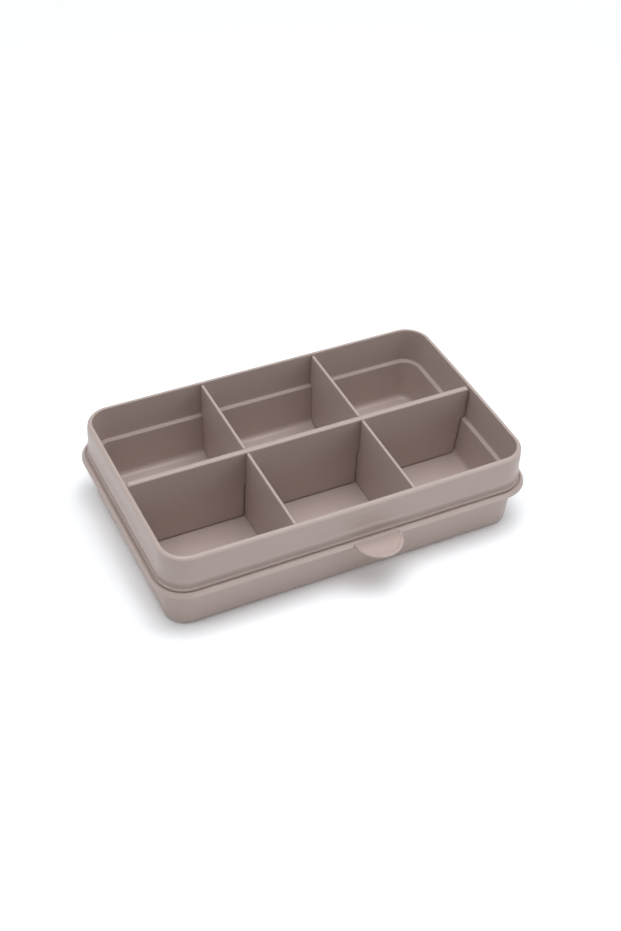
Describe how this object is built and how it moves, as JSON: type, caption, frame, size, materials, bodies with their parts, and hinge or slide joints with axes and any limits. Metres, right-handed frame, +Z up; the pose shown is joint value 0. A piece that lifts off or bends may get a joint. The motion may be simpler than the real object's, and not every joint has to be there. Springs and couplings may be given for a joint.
{
  "type": "snack box",
  "caption": "Open rectangular snack box: a flanged base with a thumb tab, a nested tray and a lift-out grid of slotted divider plates.",
  "frame": {"origin": "centre of the base's flat underside, on the surface the box stands on", "axes": "+X along the box's length, -Y the front with the thumb tab, +Z up out of the open top"},
  "size_m": [0.1878, 0.1275, 0.044],
  "materials": {
    "warm_grey_plastic": "fine matt moulded face, one warm grey all through"
  },
  "bodies": {
    "base": {"base_shell": "warm_grey_plastic"},
    "tray": {"compartment_tray": "warm_grey_plastic"},
    "left_plate": {"short_divider_left": "warm_grey_plastic"},
    "right_plate": {"short_divider_right": "warm_grey_plastic"},
    "long_plate": {"long_divider": "warm_grey_plastic"}
  },
  "joints": [
    {"name": "tray_lift", "type": "slide", "parent": "base", "child": "tray", "axis": [0, 0, 1], "range_m": [0, 0.03]},
    {"name": "left_plate_lift", "type": "slide", "parent": "tray", "child": "left_plate", "axis": [0, 0, 1], "range_m": [0, 0.045]},
    {"name": "right_plate_lift", "type": "slide", "parent": "tray", "child": "right_plate", "axis": [0, 0, 1], "range_m": [0, 0.045]},
    {"name": "long_plate_lift", "type": "slide", "parent": "left_plate", "child": "long_plate", "axis": [0, 0, 1], "range_m": [0, 0.042]}
  ],
  "couplings": [
    {"joint": "right_plate_lift", "follows": "left_plate_lift", "ratio": 1}
  ]
}
